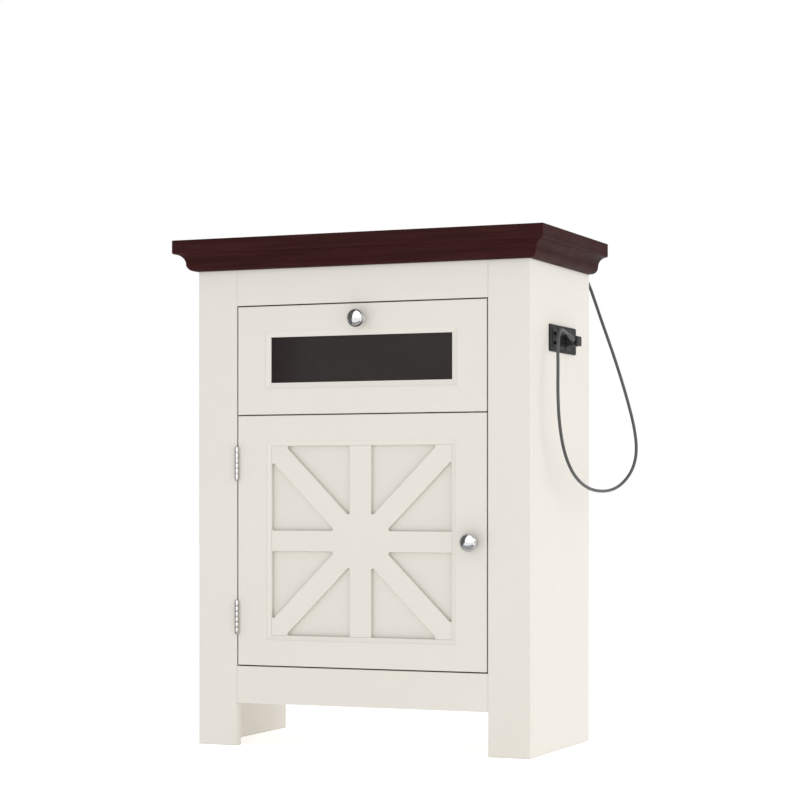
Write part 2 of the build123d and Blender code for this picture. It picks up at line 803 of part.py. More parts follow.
def strain_relief():
    """A tapered sleeve from the plug's side to the start of the lead."""
    end = Vector(*lead_route[0])
    way = (end - Vector(*lead_route[1])).normalized()
    start = end + way * relief_length
    plane = Plane(origin=start, z_dir=way * -1)
    return plane * Cone(5.2, 3.2, relief_length, align=from_base)


def lead_radii():
    points = [Vector(*point) for point in lead_route]
    radii = []
    for before, here, after in zip(points, points[1:], points[2:]):
        turn = (here - before).get_angle(after - here)
        run = min((here - before).length, (after - here).length)
        radii.append(0.45 * run / math.tan(math.radians(turn) / 2))
    return radii


def power_lead():
    radii = lead_radii()
    print("lead radii", [round(radius, 1) for radius in radii])
    path = FilletPolyline(*lead_route, radius=radii)
    section = Plane(origin=path @ 0, z_dir=path % 0) * Circle(lead_diameter / 2)
    lead = sweep(section, path=path)
    expected = math.pi * (lead_diameter / 2) ** 2 * path.length
    print("lead length", round(path.length, 1), "volume ratio", round(lead.volume / expected, 4))
    return lead


def lead_gland():
    """A screwed gland in the rear rail of the top frame; the lead goes in at its tapered nose."""
    x, y, z = lead_gland_x, lead_gland_y, lead_gland_z
    nut_end = rear_face + gland_nut
    face = Plane(origin=(x, rear_face, z), z_dir=(0, 1, 0))
    nut = extrude(face * RegularPolygon(gland_across_flats / 2, 6, major_radius=False), gland_nut)
    nose_plane = Plane(origin=(x, nut_end, z), z_dir=(0, 1, 0))
    nose = nose_plane * Cone(6.5, 3.6, y - nut_end, align=from_base)
    stem = rod(gland_bore - slip, (x, rear_face - side_board + 2, z), (x, rear_face, z))
    return nut + nose + stem


def plug_and_lead():
    sleeve = strain_relief()
    body = plug_body()
    save("plug", body)
    save("plug_strain_relief", sleeve - body)
    save("power_lead", power_lead())
    save("lead_gland", lead_gland())


os.makedirs("parts", exist_ok=True)
side_panels()
front_stiles()
face_rails()
inner_boards()
shelf_pins()
back_panel()
carcass_fixings()
mouldings()
top_frame()
door_frame()
door_spokes()
knobs()
hinges()
magnetic_catch()
drawer_front()
drawer_box()
drawer_slides()
outlet_front()
outlet_box()
plug_and_lead()
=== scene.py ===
import bpy
import bmesh
import math
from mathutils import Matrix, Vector


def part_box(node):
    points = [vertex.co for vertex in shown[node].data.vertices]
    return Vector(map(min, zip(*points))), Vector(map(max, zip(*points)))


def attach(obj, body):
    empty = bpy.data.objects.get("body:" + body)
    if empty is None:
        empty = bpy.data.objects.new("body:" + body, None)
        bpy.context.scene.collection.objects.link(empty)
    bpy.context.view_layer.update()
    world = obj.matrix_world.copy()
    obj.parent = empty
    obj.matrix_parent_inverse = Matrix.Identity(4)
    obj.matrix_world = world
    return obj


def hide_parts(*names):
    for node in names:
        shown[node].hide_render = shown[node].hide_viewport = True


# Looks for the aquarium stand cabinet. Metres, +Z up, the door and the drawer face -Y.
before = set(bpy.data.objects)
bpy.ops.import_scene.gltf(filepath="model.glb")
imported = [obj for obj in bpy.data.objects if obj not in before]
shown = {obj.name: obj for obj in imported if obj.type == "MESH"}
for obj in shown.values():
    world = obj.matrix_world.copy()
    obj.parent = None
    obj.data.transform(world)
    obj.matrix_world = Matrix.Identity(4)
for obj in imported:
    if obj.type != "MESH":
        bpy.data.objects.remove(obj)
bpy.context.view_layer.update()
mm = 0.001
print("frame loaded,", len(shown), "nodes")

camera = {
    "lens": 103.0,
    "place": (1.4402, -3.4019, 0.3992),
    "turn": 22.73,          # degrees round the object's right
    "shiftY": 0.1198,       # keeps the uprights upright
}
cameraData = bpy.data.cameras.new("camera")
cameraData.lens = camera["lens"]
cameraData.shift_y = camera["shiftY"]
cameraData.clip_end = 60
cameraPiece = bpy.data.objects.new("camera", cameraData)
cameraPiece.location = camera["place"]
cameraPiece.rotation_euler = (math.radians(90), 0, math.radians(camera["turn"]))
bpy.context.scene.collection.objects.link(cameraPiece)
bpy.context.scene.camera = cameraPiece
print("camera placed")


# node helpers

def newMaterial(name):
    material = bpy.data.materials.new(name)
    material.use_nodes = True
    return material, material.node_tree


def node(tree, kind, **settings):
    made = tree.nodes.new(kind)
    for key, value in settings.items():
        setattr(made, key, value)
    return made


def boardPoint(tree, stretch=(1, 1, 1), offset=(0, 0, 0)):
    # the piece's own coordinates, so a pattern stays on it when it moves
    where = node(tree, "ShaderNodeTexCoord")
    mapping = node(tree, "ShaderNodeMapping")
    mapping.inputs["Scale"].default_value = stretch
    mapping.inputs["Location"].default_value = offset
    tree.links.new(where.outputs["Object"], mapping.inputs["Vector"])
    return mapping.outputs["Vector"]


def noise(tree, point, scale, detail=3.0, roughness=0.5, distortion=0.0):
    cloud = node(tree, "ShaderNodeTexNoise")
    cloud.inputs["Scale"].default_value = scale
    cloud.inputs["Detail"].default_value = detail
    cloud.inputs["Roughness"].default_value = roughness
    cloud.inputs["Distortion"].default_value = distortion
    tree.links.new(point, cloud.inputs["Vector"])
    return cloud.outputs["Fac"]


def spread(tree, value, low, high, fromLow=0.3, fromHigh=0.7):
    # one range of values into another
    ranged = node(tree, "ShaderNodeMapRange")
    ranged.inputs["From Min"].default_value = fromLow
    ranged.inputs["From Max"].default_value = fromHigh
    ranged.inputs["To Min"].default_value = low
    ranged.inputs["To Max"].default_value = high
    tree.links.new(value, ranged.inputs["Value"])
    return ranged.outputs["Result"]


def mixed(tree, mask, first, second):
    # first and second are colours or sockets
    mix = node(tree, "ShaderNodeMix", data_type="RGBA")
    for socket, value in ((mix.inputs[6], first), (mix.inputs[7], second)):
        if isinstance(value, tuple):
            socket.default_value = (*value, 1)
        else:
            tree.links.new(value, socket)
    tree.links.new(mask, mix.inputs[0])
    return mix.outputs[2]


def combined(tree, first, second, operation="ADD"):
    # first and second are numbers or sockets
    result = node(tree, "ShaderNodeMath", operation=operation)
    for socket, value in zip(result.inputs, (first, second)):
        if isinstance(value, (int, float)):
            socket.default_value = value
        else:
            tree.links.new(value, socket)
    return result.outputs[0]


def bumped(tree, height, depth, strength):
    bump = node(tree, "ShaderNodeBump")
    bump.inputs["Strength"].default_value = strength
    bump.inputs["Distance"].default_value = depth
    tree.links.new(height, bump.inputs["Height"])
    return bump.outputs["Normal"]


def finish(tree, **sockets):
    # sets the shader's sockets: numbers and colours directly, patterns by link
    shader = tree.nodes["Principled BSDF"]
    names = {
        "color": "Base Color", "roughness": "Roughness", "normal": "Normal", "metallic": "Metallic",
        "specular": "Specular IOR Level", "alpha": "Alpha", "anisotropic": "Anisotropic",
        "emission": "Emission Color", "glow": "Emission Strength",
    }
    for key, value in sockets.items():
        socket = shader.inputs[names[key]]
        if isinstance(value, tuple):
            socket.default_value = (*value, 1)
        elif isinstance(value, (int, float)):
            socket.default_value = value
        else:
            tree.links.new(value, socket)


def edgeMask(tree, point, reach, most):
    # 0 on a flat, up to most along an outer edge, broken up by noise
    edge = node(tree, "ShaderNodeAmbientOcclusion", samples=4, inside=True, only_local=True)
    edge.inputs["Distance"].default_value = reach
    near = spread(tree, edge.outputs["AO"], most, 0.0, 0.45, 0.9)
    patchy = spread(tree, noise(tree, point, 130.0, 4.0, 0.7), 0.1, 1.0, 0.4, 0.65)
    return combined(tree, near, patchy, "MULTIPLY")


def dress(material, *nodes):
    for name in nodes:
        piece = shown[name]
        piece.data.materials.clear()
        piece.data.materials.append(material)


# finishes: each has its values in a dictionary beside it

paint = {
    "tone": (0.722, 0.691, 0.636),
    "warmTone": (0.713, 0.679, 0.619),
    "worn": (0.80, 0.775, 0.73),
    # dark tone for the random specks, and also for the painted shade in the inside corners
    "speckAndCornerShade": (0.40, 0.355, 0.30),
    "cornerShadeReach": 0.0035,         # metres
    "edgeReach": 0.0012,
    "edgeWear": 0.35,
    "roughness": (0.40, 0.50),
    "specular": 0.34,
    "peelScale": 420.0,
    "strokeScale": 260.0,
    "peelDepth": 0.00006,
}


def paintedFinish(name, offset=0.0, shade=1.0, along="Z"):
    # satin paint over board, rolled along one axis
    material, tree = newMaterial(name)
    place = (offset, offset * 0.7, offset * 1.3)
    point = boardPoint(tree, (1, 1, 1), place)
    long = {"X": (0.12, 1, 1), "Y": (1, 0.12, 1), "Z": (1, 1, 0.12)}[along]
    rolled = boardPoint(tree, long, place)
    # a shade below 1 darkens the paint; on the recessed door panel this is painted shade
    tone = tuple(shade * value for value in paint["tone"])
    warm = tuple(shade * value for value in paint["warmTone"])
    cloud = spread(tree, noise(tree, point, 5.0, 4.0, 0.55), 0.0, 1.0)
    color = mixed(tree, cloud, tone, warm)
    speck = spread(tree, noise(tree, point, 900.0, 2.0, 0.6), 0.0, 0.05, 0.55, 0.8)
    color = mixed(tree, speck, color, paint["speckAndCornerShade"])
    # painted shade: the paint darkened in the inside corners, where shade falls
    corner = node(tree, "ShaderNodeAmbientOcclusion", samples=6, only_local=False)
    corner.inputs["Distance"].default_value = paint["cornerShadeReach"]
    paintedCornerShade = spread(tree, corner.outputs["AO"], 0.42, 0.0, 0.35, 0.95)
    color = mixed(tree, paintedCornerShade, color, paint["speckAndCornerShade"])
    # edges rubbed a little paler and smoother
    rubbed = edgeMask(tree, point, paint["edgeReach"], paint["edgeWear"])
    color = mixed(tree, rubbed, color, paint["worn"])
    gloss = spread(tree, noise(tree, rolled, 60.0, 3.0, 0.6), *paint["roughness"])
    gloss = combined(tree, gloss, combined(tree, rubbed, -0.2, "MULTIPLY"))
    peel = noise(tree, point, paint["peelScale"], 2.0, 0.5)
    strokes = noise(tree, rolled, paint["strokeScale"], 2.0, 0.6)
    surface = combined(tree, peel, combined(tree, strokes, 0.6, "MULTIPLY"))
    normal = bumped(tree, surface, paint["peelDepth"], 0.6)
    finish(tree, color=color, roughness=gloss, normal=normal, specular=paint["specular"])
    return material


stain = {
    "tone": (0.041, 0.0120, 0.0112),
    "dark": (0.0270, 0.0078, 0.0074),
    "light": (0.068, 0.0230, 0.0205),
    "worn": (0.105, 0.042, 0.036),
    "edgeReach": 0.0012,
    "edgeWear": 0.5,
    "bandScale": 55.0,
    "figureScale": 210.0,
    "poreScale": 900.0,
    "grainDepth": 0.00005,
    "roughness": (0.42, 0.52),
    "specular": 0.022,
}


def stainedFinish(name, along, offset=0.0):
    # dark stain that lets the grain show
    material, tree = newMaterial(name)
    long = {"X": (0.06, 1, 1), "Y": (1, 0.06, 1)}[along]
    point = boardPoint(tree, long, (offset, offset, offset))
    plain = boardPoint(tree, (1, 1, 1), (offset, offset, offset))
    bands = spread(tree, noise(tree, point, stain["bandScale"], 5.0, 0.55, 0.6), 0.0, 1.0)
    color = mixed(tree, bands, stain["tone"], stain["dark"])
    swirl = noise(tree, point, stain["figureScale"], 3.0, 0.6, 0.3)
    figure = spread(tree, swirl, 0.0, 0.45, 0.52, 0.8)
    color = mixed(tree, figure, color, stain["light"])
    pores = spread(tree, noise(tree, point, stain["poreScale"], 2.0, 0.7), 0.0, 0.6, 0.6, 0.85)
    color = mixed(tree, pores, color, stain["dark"])
    rubbed = edgeMask(tree, plain, stain["edgeReach"], stain["edgeWear"])
    color = mixed(tree, rubbed, color, stain["worn"])
    gloss = spread(tree, noise(tree, plain, 30.0, 3.0), *stain["roughness"])
    grain = combined(tree, bands, combined(tree, pores, -0.8, "MULTIPLY"))
    normal = bumped(tree, grain, stain["grainDepth"], 0.5)
    finish(tree, color=color, roughness=gloss, normal=normal, specular=stain["specular"])
    return material


softwood = {
    "early": (0.66, 0.50, 0.31),
    "late": (0.47, 0.31, 0.165),
    "pore": (0.34, 0.22, 0.12),
    "ringScale": 45.0,
    "fibreScale": 700.0,
    "sawDepth": 0.00012,
    "specular": 0.3,
}


def softwoodFinish(name, along, offset=0.0):
    # planed pine, bare
    material, tree = newMaterial(name)
    long = {"X": (0.05, 1, 1), "Y": (1, 0.05, 1)}[along]
    point = boardPoint(tree, long, (offset, 0.3 * offset, offset))
    rings = node(tree, "ShaderNodeTexWave", wave_type="RINGS", rings_direction=along, wave_profile="SAW")
    rings.inputs["Scale"].default_value = softwood["ringScale"]
    rings.inputs["Distortion"].default_value = 5.0
    rings.inputs["Detail"].default_value = 3.0
    tree.links.new(point, rings.inputs["Vector"])
    color = mixed(tree, rings.outputs["Fac"], softwood["early"], softwood["late"])
    fibre = spread(tree, noise(tree, point, softwood["fibreScale"], 3.0, 0.7), 0.0, 0.5, 0.5, 0.8)
    color = mixed(tree, fibre, color, softwood["pore"])
    gloss = spread(tree, fibre, 0.62, 0.8, 0.0, 0.5)
    normal = bumped(tree, noise(tree, point, 500.0, 3.0, 0.7), softwood["sawDepth"], 0.6)
    finish(tree, color=color, roughness=gloss, normal=normal, specular=softwood["specular"])
    return material


polish = {
    "bright": (0.63, 0.63, 0.64),
    "hazy": (0.54, 0.54, 0.555),
    "roughness": (0.045, 0.11),
    "hazeScale": 160.0,
    "hazeDepth": 0.00002,
}


def polishedFinish(name):
    # bright plate over a buffed turning
    material, tree = newMaterial(name)
    point = boardPoint(tree)
    haze = noise(tree, point, polish["hazeScale"], 4.0, 0.6)
    color = mixed(tree, spread(tree, haze, 0.0, 1.0), polish["bright"], polish["hazy"])
    scuffs = noise(tree, boardPoint(tree, (1, 1, 8)), 600.0, 3.0, 0.7)
    gloss = spread(tree, scuffs, *polish["roughness"], 0.45, 0.75)
    normal = bumped(tree, haze, polish["hazeDepth"], 0.25)
    finish(tree, color=color, roughness=gloss, normal=normal, metallic=1.0)
    return material


plate = {
    "bright": (0.64, 0.63, 0.615),
    "dull": (0.44, 0.43, 0.42),
    "roughness": (0.14, 0.26),
    "wornRoughness": 0.12,
    "brushScale": 2600.0,
    "brushDepth": 0.00002,
    "anisotropic": 0.3,
}


def platedFinish(name):
    # bright nickel with fine brushing and a few worn spots
    material, tree = newMaterial(name)
    brushed = boardPoint(tree, (1, 1, 0.08))
    streak = noise(tree, brushed, plate["brushScale"], 3.0, 0.6)
    worn = spread(tree, noise(tree, boardPoint(tree), 240.0, 4.0, 0.6), 0.0, 0.7, 0.5, 0.72)
    color = mixed(tree, worn, plate["bright"], plate["dull"])
    rougher = combined(tree, worn, plate["wornRoughness"], "MULTIPLY")
    gloss = combined(tree, spread(tree, streak, *plate["roughness"]), rougher)
    normal = bumped(tree, streak, plate["brushDepth"], 0.5)
    finish(tree, color=color, roughness=gloss, normal=normal, metallic=1.0, anisotropic=plate["anisotropic"])
    return material


galvanized = {
    "clear": (0.56, 0.56, 0.57),
    "yellow": (0.66, 0.59, 0.45),
    "crystal": (0.44, 0.45, 0.47),
    "dirt": (0.28, 0.27, 0.25),
    "crystalScale": 260.0,
    "roughness": (0.30, 0.45),
    "grainDepth": 0.00003,
}


def zincFinish(name, tone="clear"):
    # zinc plate: small crystals of slightly different grey
    material, tree = newMaterial(name)
    point = boardPoint(tree)
    crystals = node(tree, "ShaderNodeTexVoronoi", feature="F1")
    crystals.inputs["Scale"].default_value = galvanized["crystalScale"]
    tree.links.new(point, crystals.inputs["Vector"])
    tint = spread(tree, crystals.outputs["Distance"], 0.0, 1.0, 0.0, 0.9)
    color = mixed(tree, tint, galvanized[tone], galvanized["crystal"])
    dirt = spread(tree, noise(tree, point, 70.0, 5.0, 0.6), 0.0, 0.5, 0.55, 0.75)
    color = mixed(tree, dirt, color, galvanized["dirt"])
    gloss = spread(tree, noise(tree, point, 500.0, 3.0), *galvanized["roughness"])
    gloss = combined(tree, gloss, combined(tree, dirt, 0.2, "MULTIPLY"))
    normal = bumped(tree, noise(tree, point, 900.0, 2.0), galvanized["grainDepth"], 0.5)
    finish(tree, color=color, roughness=gloss, normal=normal, metallic=1.0)
    return material


# tone, depth of the texture in metres, and roughness of each black plastic
plastics = {
    "moulded": ((0.021, 0.0205, 0.0215), 0.00006, (0.42, 0.56)),
    "socket": ((0.020, 0.0195, 0.0205), 0.00003, (0.28, 0.40)),
    "plug": ((0.034, 0.033, 0.0345), 0.000036, (0.40, 0.50)),
}
plastic = {
    "sparkScale": 1900.0,
    "handledScale": 45.0,
    "specular": 0.07,
}


def mouldedFinish(name, kind):
    # black plastic with the fine sparked texture of its mould, rubbed smoother where it is handled
    material, tree = newMaterial(name)
    point = boardPoint(tree)
    tone, sparkDepth, roughness = plastics[kind]
    bits = noise(tree, point, plastic["sparkScale"], 2.0, 0.6)
    lighter = tuple(1.7 * value for value in tone)
    color = mixed(tree, spread(tree, bits, 0.0, 0.5, 0.45, 0.75), tone, lighter)
    handled = spread(tree, noise(tree, point, plastic["handledScale"], 4.0), 0.0, 0.35, 0.5, 0.75)
    color = mixed(tree, handled, color, tuple(2.1 * value for value in tone))
    gloss = combined(tree, spread(tree, bits, *roughness), combined(tree, handled, -0.15, "MULTIPLY"))
    normal = bumped(tree, bits, sparkDepth, 0.7)
    finish(tree, color=color, roughness=gloss, normal=normal, specular=plastic["specular"])
    return material


rubber = {
    "tone": (0.062, 0.062, 0.064),
    "dusty": 1.6,           # times the tone
    "shaded": 0.6,
    "roughness": (0.36, 0.50),
    "drawScale": 1400.0,
    "drawDepth": 0.00005,
    "specular": 0.42,
}


def rubberFinish(name):
    # soft lead jacket with faint drawing marks and dust
    material, tree = newMaterial(name)
    point = boardPoint(tree)
    tone = rubber["tone"]
    fine = noise(tree, point, rubber["drawScale"], 3.0, 0.6)
    dust = spread(tree, noise(tree, point, 60.0, 5.0, 0.65), 0.0, 0.45, 0.5, 0.75)
    color = mixed(tree, dust, tone, tuple(rubber["dusty"] * value for value in tone))
    marks = spread(tree, fine, 0.0, 0.3, 0.5, 0.8)
    color = mixed(tree, marks, color, tuple(rubber["shaded"] * value for value in tone))
    gloss = spread(tree, fine, *rubber["roughness"])
    gloss = combined(tree, gloss, combined(tree, dust, 0.1, "MULTIPLY"))
    normal = bumped(tree, fine, rubber["drawDepth"], 0.5)
    finish(tree, color=color, roughness=gloss, normal=normal, specular=rubber["specular"])
    return material


smoke = {
    "tone": (0.021, 0.0155, 0.0140),
    "wiped": (0.029, 0.0220, 0.0200),
    "roughness": (0.03, 0.10),
    "wipeScale": 35.0,
    "waveDepth": 0.0001,
    "specular": 0.16,
    "alpha": 0.68,
}


def smokedFinish(name):
    # tinted clear sheet, with faint wipe marks in its gloss
    material, tree = newMaterial(name)
    point = boardPoint(tree, (1, 1, 2))
    wiped = noise(tree, point, smoke["wipeScale"], 4.0, 0.6)
    color = mixed(tree, spread(tree, wiped, 0.0, 1.0), smoke["tone"], smoke["wiped"])
    gloss = spread(tree, wiped, *smoke["roughness"])
    normal = bumped(tree, noise(tree, point, 18.0, 1.0), smoke["waveDepth"], 0.12)
    finish(tree, color=color, roughness=gloss, normal=normal,
           specular=smoke["specular"], alpha=smoke["alpha"])
    return material


magnet = {
    "tone": (0.055, 0.052, 0.05),
    "grit": (0.12, 0.115, 0.11),
    "gritScale": 1500.0,
    "gritDepth": 0.0001,
    "roughness": (0.5, 0.8),
    "metallic": 0.4,
}


def magnetFinish(name):
    # sintered block, dark and gritty
    material, tree = newMaterial(name)
    point = boardPoint(tree)
    grit = noise(tree, point, magnet["gritScale"], 4.0, 0.7)
    color = mixed(tree, spread(tree, grit, 0.0, 1.0), magnet["tone"], magnet["grit"])
    gloss = spread(tree, grit, *magnet["roughness"])
    normal = bumped(tree, grit, magnet["gritDepth"], 0.8)
    finish(tree, color=color, roughness=gloss, normal=normal, metallic=magnet["metallic"])
    return material


# material, offset of its pattern, shade and direction of the roller, and the boards that have it
paintedBoards = [
    ("frame_paint", 0.0, 1.0, "Z", ["front_stile_left", "front_stile_right"]),
    ("rail_paint", 1.7, 1.0, "X", ["top_rail", "bottom_rail"]),
    ("side_paint", 3.1, 1.0, "Z", ["side_panel_left", "side_panel_right"]),
    ("door_paint", 5.3, 1.0, "Z", ["door_frame"]),
    ("drawer_paint", 7.9, 1.0, "X", ["drawer_front", "pane_retainer"]),
    # the recessed door panel gets a darker copy of the paint (0.975): painted shade for its recess
    ("panel_paint", 9.2, 0.975, "Z", ["door_panel"]),
    ("spoke_paint", 11.5, 1.0, "Z", ["door_spokes"]),
    ("inner_paint", 13.3, 0.96, "X", [
        "cabinet_floor", "drawer_deck", "adjustable_shelf", "drawer_partition_left", "drawer_partition_right",
        "back_panel", "drawer_side_left", "drawer_side_right", "drawer_back", "drawer_bottom",
    ]),
]
for name, offset, shade, along, boards in paintedBoards:
    dress(paintedFinish(name, offset, shade, along), *boards)
dress(stainedFinish("stain_across", "X"), "front_moulding")
dress(stainedFinish("stain_along", "Y", 2.2), "left_moulding", "right_moulding")
dress(stainedFinish("stain_top", "X", 4.7), "top_board")
dress(softwoodFinish("rail_softwood", "X"), "top_rear_rail")
dress(softwoodFinish("batten_softwood", "Y", 1.1), "top_cleats")
chrome = polishedFinish("polished_chrome")
nickel = platedFinish("bright_nickel")
zinc = zincFinish("zinc_plate")
dress(nickel, "hinge_pins")
dress(zinc, "slide_outer_left", "slide_outer_right", "slide_middle_left", "slide_middle_right",
      "slide_inner_left", "slide_inner_right", "cam_locks", "cam_bolts", "shelf_pins", "catch_strike")
dress(smokedFinish("smoked_sheet"), "window_pane")
black = mouldedFinish("moulded_black", "moulded")
dress(black, "outlet_plate", "outlet_housing", "port_grommets", "catch_housing", "supply_gland")
dress(mouldedFinish("socket_black", "socket"), "socket_inserts")
dress(magnetFinish("magnet_grey"), "catch_magnet")
plugBlack = mouldedFinish("plug_black", "plug")
jacket = rubberFinish("lead_jacket")
print("finishes on", len(shown), "nodes")


# pieces made here, with sizes in millimetres unless a note says otherwise

def addPiece(name, mesh, body, material, slotName, *replaced):
    piece = bpy.data.objects.new(name, mesh)
    bpy.context.scene.collection.objects.link(piece)
    mesh.materials.clear()
    mesh.materials.append(material)
    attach(piece, body)
    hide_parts(*replaced)
    return piece


def arc(start, through, end, count):
    # points along the circle through three (radius, distance) pairs, the first one left out
    (ax, ay), (bx, by), (cx, cy) = start, through, end
    twice = 2 * (ax * (by - cy) + bx * (cy - ay) + cx * (ay - by))
    squares = [x * x + y * y for x, y in (start, through, end)]
    midX = (squares[0] * (by - cy) + squares[1] * (cy - ay) + squares[2] * (ay - by)) / twice
    midY = (squares[0] * (cx - bx) + squares[1] * (ax - cx) + squares[2] * (bx - ax)) / twice
    angles = [math.atan2(y - midY, x - midX) for x, y in (start, through, end)]
    first = (angles[1] - angles[0] + math.pi) % math.tau - math.pi
    second = (angles[2] - angles[1] + math.pi) % math.tau - math.pi
    radius = math.hypot(ax - midX, ay - midY)
    points = []
    for step in range(1, count + 1):
        angle = angles[0] + (first + second) * step / count
        points.append((midX + radius * math.cos(angle), midY + radius * math.sin(angle)))
    return points


def sides(axis):
    # the axis and two directions across it
    way = Vector(axis).normalized()
    across = way.orthogonal().normalized()
    return way, across, way.cross(across)


def joinRings(shape, rings):
    # a band of faces between each ring and the next
    for low, high in zip(rings, rings[1:]):
        count = len(low)
        for i in range(count):
            j = (i + 1) % count
            shape.faces.new((low[i], low[j], high[j], high[i]))


def addTurning(shape, outline, place, axis, steps, capStart=True, capEnd=True):
    # a lathe: outline holds (radius, distance along the axis) pairs, and place is in metres
    way, across, up = sides(axis)
    rings = []
    for radius, along in outline:
        middle = Vector(place) + way * along * mm
        ring = []
        for step in range(steps):
            angle = math.tau * step / steps
            spoke = across * math.cos(angle) + up * math.sin(angle)
            ring.append(shape.verts.new(middle + spoke * radius * mm))
        rings.append(ring)
    joinRings(shape, rings)
    if capStart:
        shape.faces.new(list(reversed(rings[0])))
    if capEnd:
        shape.faces.new(rings[-1])
    return rings


def finishMesh(shape, name, sharp=32):
    # edges that turn by more than sharp degrees stay crisp
    bmesh.ops.recalc_face_normals(shape, faces=shape.faces)
    mesh = bpy.data.meshes.new(name)
    shape.to_mesh(mesh)
    shape.free()
    mesh.shade_smooth()
    mesh.set_sharp_from_angle(angle=math.radians(sharp))
    return mesh


def middleOf(name):
    low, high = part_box(name)
    return [(a + b) / 2 for a, b in zip(low, high)]


# radius, and distance from the board, at each change of the knob's outline
knob = {
    "foot": 10.0,
    "rim": 1.2,             # straight edge of the foot
    "rimRound": (9.6, 2.0),
    "shoulder": (8.6, 2.4),
    "neck": (6.6, 3.7),
    "throat": (7.0, 5.7),
    "back": (12.2, 9.6),
    "widest": (14.5, 15.8),
    "reach": 27.0,
    "domeSteps": 40,
    "steps": 128,
}


def knobMesh(name, place):
    rim = (knob["foot"], knob["rim"])
    outline = [(knob["foot"] - 0.3, 0), (knob["foot"], 0.3), rim]
    outline += arc(rim, knob["rimRound"], knob["shoulder"], 5)
    outline += arc(knob["shoulder"], knob["neck"], knob["throat"], 10)
    outline += arc(knob["throat"], knob["back"], knob["widest"], 26)
    radius, level = knob["widest"]
    for step in range(1, knob["domeSteps"]):
        angle = math.pi / 2 * step / knob["domeSteps"]
        outline.append((radius * math.cos(angle), level + (knob["reach"] - level) * math.sin(angle)))
    shape = bmesh.new()
    addTurning(shape, outline, place, (0, -1, 0), knob["steps"])
    return finishMesh(shape, name)


for body, name in (("door", "door_knob"), ("drawer", "drawer_knob")):
    x, _, z = middleOf(name)
    foot = (x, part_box(name)[1][1], z)
    addPiece(name + "_turning", knobMesh(name + "_turning", foot), body, chrome, "polished_knob", name)
print("knobs turned")


screws = {
    "steps": 40,
    "crossArm": 0.17,       # half width of the recess's arms, over the head's radius
    "crossReach": 0.62,
    "slotReach": 0.88,
    "recessDepth": 1.1,
    "recessTaper": 0.82,
    # radius and height of the head, radius and length of the shank
    "leaf": (2.8, 0.97, 1.5, 17.0),
    "back": (4.0, 2.0, 1.7, 15.0),
    "slide": (3.2, 0.8, 1.6, 11.0),
    "knob": (4.2, 2.6, 1.8, 20.0),
}


def recessOutline(radius, rimRadius, slotted):
    # corners of a slot, or of a cross
    arm = screws["crossArm"] * radius
    if slotted:
        reach = screws["slotReach"] * rimRadius
        return [(reach, arm), (-reach, arm), (-reach, -arm), (reach, -arm)]
    reach = screws["crossReach"] * radius
    corners = []
    for u, v in ((1, 1), (-1, 1), (-1, -1), (1, -1)):
        wide = (u * reach, v * arm)
        tall = (u * arm, v * reach)
        inner = (u * arm, v * arm)
        corners += [wide, inner, tall] if u * v > 0 else [tall, inner, wide]
    return corners


def addScrew(shape, place, axis, size, slotted=False, domed=False):
    # place is where the head seats, and the axis points out of the head
    radius, height, shank, length = size
    way, across, up = sides(axis)
    head = [(shank, -length), (shank, 0), (radius, 0), (radius, height * 0.5)]
    if domed:
        head += [(radius * 0.95, height * 0.78), (radius * 0.82, height * 0.95)]
    else:
        head += [(radius, height * 0.8), (radius * 0.95, height)]
    rim = addTurning(shape, head, place, axis, screws["steps"], True, False)[-1]
    rimRadius, top = head[-1]
    depth = min(screws["recessDepth"], height * 0.7)
    loops = []
    for scale, level in ((1.0, top), (screws["recessTaper"], top - depth)):
        middle = Vector(place) + way * level * mm
        corners = recessOutline(radius, rimRadius, slotted)
        loops.append([shape.verts.new(middle + (across * u + up * v) * scale * mm) for u, v in corners])
    mouth, bottom = loops
    edges = []
    for loop in (rim, mouth):
        for first, second in zip(loop, loop[1:] + loop[:1]):
            edges.append(shape.edges.get((first, second)) or shape.edges.new((first, second)))
    bmesh.ops.triangle_fill(shape, use_beauty=True, edges=edges)
    joinRings(shape, loops)
    shape.faces.new(bottom)


def screwSet(name, body, material, slotName, places, size, **shapes):
    # places holds (point, axis) pairs
    shape = bmesh.new()
    for place, axis in places:
        addScrew(shape, place, axis, size, **shapes)
    addPiece(name + "_set", finishMesh(shape, name + "_set"), body, material, slotName, name)


hinge = {
    "barrel": 3.25,
    "lip": 0.4,             # rounding of each knuckle's ends
    "gap": 0.15,            # at each end of a knuckle
    "bore": 1.68,
    "knuckles": 6,
    "height": 50.8,
    "leafThickness": 0.9,
    "leafWidth": 13.0,
    "leafCorner": 0.6,
    "inset": 76.0,          # hinge's middle from the door's top and bottom edges
    "screwDepth": 7.0,      # behind the door's face
    "screwSpread": 16.0,    # above and below the hinge's middle
    "steps": 48,
}
doorLow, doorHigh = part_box("door_frame")
faceY = doorLow[1]
hingeLevels = [doorLow[2] + hinge["inset"] * mm, doorHigh[2] - hinge["inset"] * mm]


def knuckleOutline(length):
    # a tube's wall with its outer rims rounded, as (radius, distance) pairs
    lip, full = hinge["lip"], hinge["barrel"]
    half = [(hinge["bore"], 0), (full - lip, 0), (full - lip * 0.3, lip * 0.3), (full, lip)]
    return half + [(radius, length - along) for radius, along in reversed(half)]


